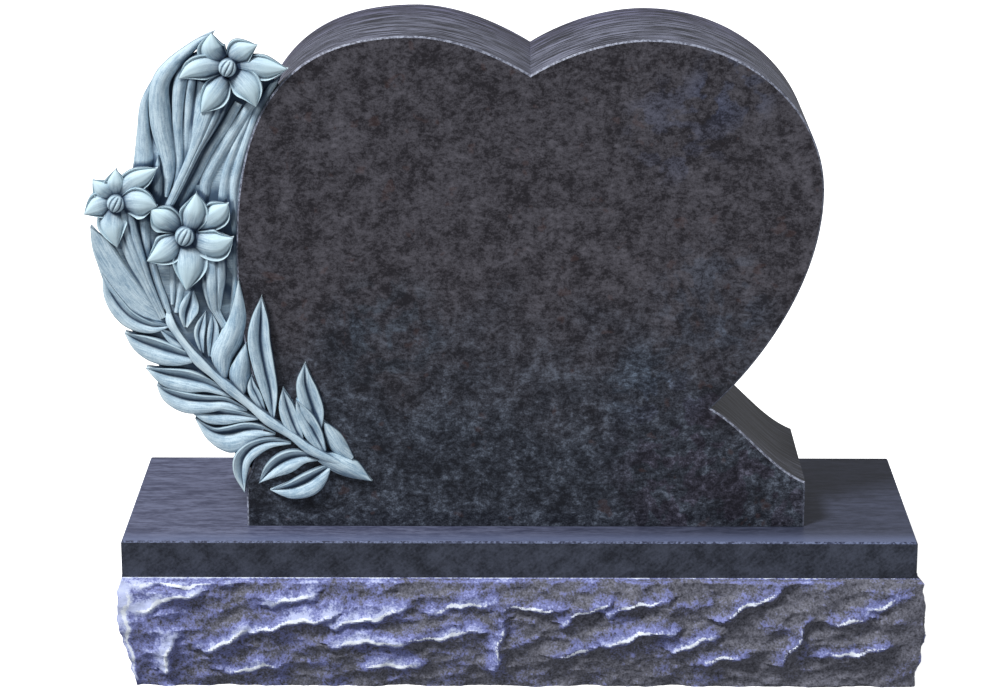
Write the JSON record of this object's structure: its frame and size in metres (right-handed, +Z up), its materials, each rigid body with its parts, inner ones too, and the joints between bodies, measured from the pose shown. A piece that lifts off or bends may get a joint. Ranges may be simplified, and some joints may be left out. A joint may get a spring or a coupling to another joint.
{
  "type": "granite headstone",
  "caption": "Heart-shaped polished granite headstone with a carved lily spray, standing on a rock-pitched granite base.",
  "frame": {"origin": "centre of the base's flat underside", "axes": "+X to the right of someone facing the polished front, +Y towards the back, +Z up"},
  "size_m": [0.9662, 0.3412, 0.7591],
  "materials": {
    "polished_granite": "polished dark blue-grey granite with swirling brown and blue grain",
    "carved_granite": "unpolished chiselled granite, pale blue-grey with dark hollows",
    "base_granite": "blue-grey granite, honed top and margin over rock-pitched sides"
  },
  "bodies": {
    "root": {"heart_headstone": "polished_granite", "rock_pitched_base": "base_granite"}
  },
  "joints": []
}
